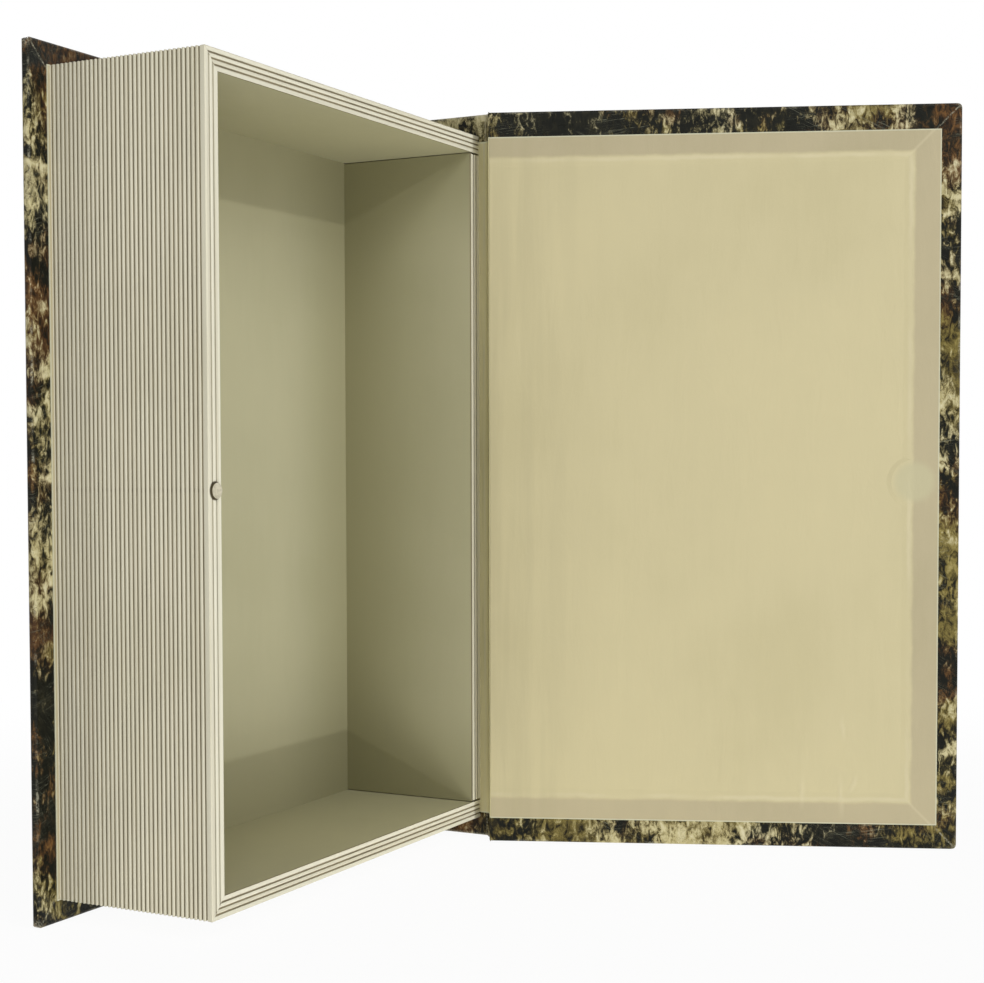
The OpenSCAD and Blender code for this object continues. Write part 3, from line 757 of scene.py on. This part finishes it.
joint_inside = beside(outer_path, -SHEET_T)[SECOND_LAYER_START:-1] + [
    inner_edge + OUTWARD * (CASE_T - SHEET_T * 3 / 2), inner_edge,
]
liner_x = SPINE_IN - SHEET_T / 2
liner_bend = Vector((liner_x, SPINE_FRONT + 2 * SHEET_T))
inner_path = [Vector((liner_x, LINER_ROOT_DEPTH - TRAY_D))] + curve(
    liner_bend, liner_bend - Vector((0.0, LINER_ROOT_PULL)),
    joint_inside[0] + (joint_inside[0] - joint_inside[1]).normalized(), joint_inside[0], ROOT_STEPS,
) + joint_inside[1:]
folded_path = [Vector((SPINE_IN + SHEET_T / 2, wrap_from.y))] + joint_inside


def head_of(point):
    """Height of the wrap's head edge: it climbs from the cover's to the spine's."""
    share = (point.x - wrap_to.x) / (wrap_from.x - wrap_to.x)
    return COVER_H + (SPINE_H - COVER_H) * min(max(share, 0.0), 1.0)


def add_sheet(mesh, path, z0, z1, rows):
    """Adds a sheet whose middle follows a path seen from above, from z0 to z1, or to the head without z1."""
    sides = (beside(path, SHEET_T / 2), beside(path, -SHEET_T / 2))
    length = len(path)
    grid = []
    for row in range(rows + 1):
        for side in sides:
            for point in side:
                top = head_of(point) if z1 is None else z1
                grid.append(mesh.verts.new(at(point.x, point.y, z0 + (top - z0) * row / rows)))

    def add_face(*places):
        mesh.faces.new([grid[(row * 2 + side) * length + i] for row, side, i in places])

    for row in range(rows):
        for i in range(length - 1):
            add_face((row, 0, i), (row, 0, i + 1), (row + 1, 0, i + 1), (row + 1, 0, i))
            add_face((row, 1, i + 1), (row, 1, i), (row + 1, 1, i), (row + 1, 1, i + 1))
        for i in (0, length - 1):
            add_face((row, 0, i), (row, 1, i), (row + 1, 1, i), (row + 1, 0, i))
    for row in (0, rows):
        for i in range(length - 1):
            add_face((row, 0, i), (row, 0, i + 1), (row, 1, i + 1), (row, 1, i))


def make_piece(name, mesh, material):
    """Turns a mesh into a flat-shaded piece that carries its places at rest."""
    bmesh.ops.recalc_face_normals(mesh, faces=mesh.faces)
    data = bpy.data.meshes.new(name)
    mesh.to_mesh(data)
    mesh.free()
    rest = data.attributes.new("rest", "FLOAT_VECTOR", "POINT")
    for vertex in data.vertices:
        rest.data[vertex.index].vector = vertex.co
    for polygon in data.polygons:
        polygon.use_smooth = False
    data.materials.append(material)
    piece = bpy.data.objects.new(name, data)
    bpy.context.scene.collection.objects.link(piece)
    return piece


# For each half, where its paper starts to turn at its fold and where it has turned, and how finely the sheets
# are cut
wrap_way = wrap_span.normalized()
SPINE_BEND = (Vector((190.0, -67.4)), Vector((188.1, -70.2)))
BOARD_BEND = (wrap_to - wrap_way * 2.4, wrap_to - wrap_way * 0.4)
WRAP_ROWS, FOLDED_ROWS, LINER_ROWS = 60, 2, 120
printed_joint = printed_paper("printed_front_joint", worn_joint, "rest")
liner_joint = joint_paper()
outer_halves, inner_halves, folded_halves = (halves(finely(p)) for p in (outer_path, inner_path, folded_path))
for index, (part, bodies, bend) in enumerate((
    ("spine_half", ("tray_case", "joint_strip"), SPINE_BEND),
    ("board_half", ("joint_strip", "front_cover"), BOARD_BEND),
)):
    wrap_mesh = bmesh.new()
    add_sheet(wrap_mesh, outer_halves[index], 0.0, None, WRAP_ROWS)
    add_sheet(wrap_mesh, folded_halves[index], 0.0, FRONT_LINER_V0, FOLDED_ROWS)
    add_sheet(wrap_mesh, folded_halves[index], FRONT_LINER_V1, None, FOLDED_ROWS)
    wrap_piece = make_piece("joint_wrap_" + part, wrap_mesh, printed_joint)
    liner_mesh = bmesh.new()
    add_sheet(liner_mesh, inner_halves[index], FRONT_LINER_V0, FRONT_LINER_V1, LINER_ROWS)
    liner_piece = make_piece("joint_liner_" + part, liner_mesh, liner_joint)
    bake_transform(wrap_piece)
    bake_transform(liner_piece)
    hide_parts("front_joint_wrap")
    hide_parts("front_joint_liner")

# Catch
STEEL, STEEL_BRIGHT, STEEL_DARK = rgb(190, 184, 162), rgb(216, 210, 190), rgb(92, 83, 60)


def steel(name, face_y=None):
    """Dull plated steel. On the magnet the side is darker than the face."""
    graph = Graph(name)
    place = place_of(graph)
    tone = graph.noise(place, 1.1, detail=4, roughness=0.6)
    colour = graph.ramp(tone, (0.36, STEEL), (0.6, STEEL_BRIGHT))
    if face_y is not None:
        below = graph.sub(graph.split(place)[1], face_y)
        on_side = graph.step(graph.add_up(below, graph.mul(tone, 0.06)), 0.06, 0.16)
        colour = graph.mix(on_side, colour, STEEL_DARK)
    return graph.finish(
        Base_Color=colour, Metallic=0.4, Roughness=graph.step(tone, 0.3, 0.7, 0.34, 0.5),
        Normal=graph.bump(tone, distance=0.00002),
    )


dress(steel("magnet_steel", MAGNET_LOW.y), "catch_magnet")
dress(steel("plate_steel"), "catch_plate")

# Floor: a pale sweep that is white to the camera away from the object's shadow
WHITE = (1.0, 1.0, 1.0)
FLOOR_GREY = (0.85, 0.85, 0.84)
FLOOR_HALF_WIDTH, FLOOR_DROP = 6.0, 0.0002
SHADOW_NEAR, SHADOW_FAR, WHITE_NEAR = 0.2, 0.6, 0.95
SEEN_BY = ("Is Camera Ray", "Is Glossy Ray", "Is Transmission Ray")

floor_mesh = bpy.data.meshes.new("floor")
floor_edit = bmesh.new()
bmesh.ops.create_grid(floor_edit, x_segments=1, y_segments=1, size=FLOOR_HALF_WIDTH)
floor_edit.to_mesh(floor_mesh)
floor_edit.free()
floor = bpy.data.objects.new("floor", floor_mesh)
bpy.context.scene.collection.objects.link(floor)
floor.location = (0.0, 0.0, -FLOOR_DROP)
floor.visible_shadow = False
floor_graph = Graph("floor")
floor_rays = floor_graph.add("ShaderNodeLightPath")
seen = floor_graph.either(*(floor_rays.outputs[kind] for kind in SEEN_BY))
from_middle = floor_graph.add("ShaderNodeVectorMath", operation="LENGTH")
floor_graph.put(from_middle.inputs[0], floor_graph.place)
whiteness = floor_graph.step(from_middle.outputs["Value"], SHADOW_NEAR, SHADOW_FAR, WHITE_NEAR, 1.0)
matt = floor_graph.add("ShaderNodeBsdfDiffuse")
floor_graph.put(matt.inputs["Color"], FLOOR_GREY)
white = floor_graph.add("ShaderNodeEmission")
floor_graph.put(white.inputs["Color"], WHITE)
floor_mix = floor_graph.add("ShaderNodeMixShader")
floor_graph.put(floor_mix.inputs[0], floor_graph.mul(seen, whiteness))
floor_graph.put(floor_mix.inputs[1], matt.outputs[0])
floor_graph.put(floor_mix.inputs[2], white.outputs[0])
floor_graph.put(floor_graph.add("ShaderNodeOutputMaterial").inputs["Surface"], floor_mix.outputs[0])
floor_mesh.materials.append(floor_graph.material)

# World: a little light from all round, and white behind the object
GLOW, GLOW_STRENGTH = (1.0, 0.99, 0.96), 0.07

world = bpy.data.worlds.new("studio")
bpy.context.scene.world = world
world.use_nodes = True
world_tree = world.node_tree
world_tree.nodes.clear()


def world_light(colour, strength):
    node = world_tree.nodes.new("ShaderNodeBackground")
    node.inputs["Color"].default_value = (*colour, 1.0)
    node.inputs["Strength"].default_value = strength
    return node.outputs[0]


world_rays = world_tree.nodes.new("ShaderNodeLightPath")
world_seen = [world_rays.outputs[kind] for kind in SEEN_BY]
while len(world_seen) > 1:
    highest = world_tree.nodes.new("ShaderNodeMath")
    highest.operation = "MAXIMUM"
    world_tree.links.new(world_seen.pop(), highest.inputs[0])
    world_tree.links.new(world_seen.pop(), highest.inputs[1])
    world_seen.append(highest.outputs[0])
world_mix = world_tree.nodes.new("ShaderNodeMixShader")
world_tree.links.new(world_seen[0], world_mix.inputs[0])
world_tree.links.new(world_light(GLOW, GLOW_STRENGTH), world_mix.inputs[1])
world_tree.links.new(world_light(WHITE, 1.0), world_mix.inputs[2])
world_tree.links.new(world_mix.outputs[0], world_tree.nodes.new("ShaderNodeOutputWorld").inputs["Surface"])

# Lamps: each stands once above and once below the middle of the box. Azimuth 0 is in front of the tray's
# mouth and 90 at its fore edge. A row is a name, azimuth, elevation, width in metres and power.
LAMPS = (
    ("key", 18, 26.5, 0.045, 4.0),
    ("front", 22, 40, 0.6, 5.8),
    ("side", 60, 33, 0.5, 2.6),
    ("fore_edge", 94, 33, 0.5, 2.9),
    ("back", 205, 33, 0.5, 6.6),
)
LAMP_AIM, LAMP_DISTANCE = at(100.0, -60.0, 150.0), 1.6
ABOVE_SHARE, BELOW_SHARE = 1.04, 0.97


def area_light(name, azimuth, elevation, size, power):
    """A square lamp aimed at the middle of the box."""
    data = bpy.data.lights.new(name, "AREA")
    data.shape = "SQUARE"
    data.size = size
    data.energy = power
    lamp = bpy.data.objects.new(name, data)
    bpy.context.scene.collection.objects.link(lamp)
    a, e = math.radians(azimuth), math.radians(elevation)
    direction = Vector((-math.sin(a) * math.cos(e), -math.cos(a) * math.cos(e), math.sin(e)))
    lamp.location = LAMP_AIM + direction * LAMP_DISTANCE
    lamp.rotation_euler = direction.to_track_quat("Z", "Y").to_euler()


for lamp_name, azimuth, elevation, size, power in LAMPS:
    area_light(lamp_name + "_above", azimuth, elevation, size, power * ABOVE_SHARE)
    area_light(lamp_name + "_below", azimuth, -elevation, size, power * BELOW_SHARE)

bpy.context.scene.view_settings.view_transform = "Standard"
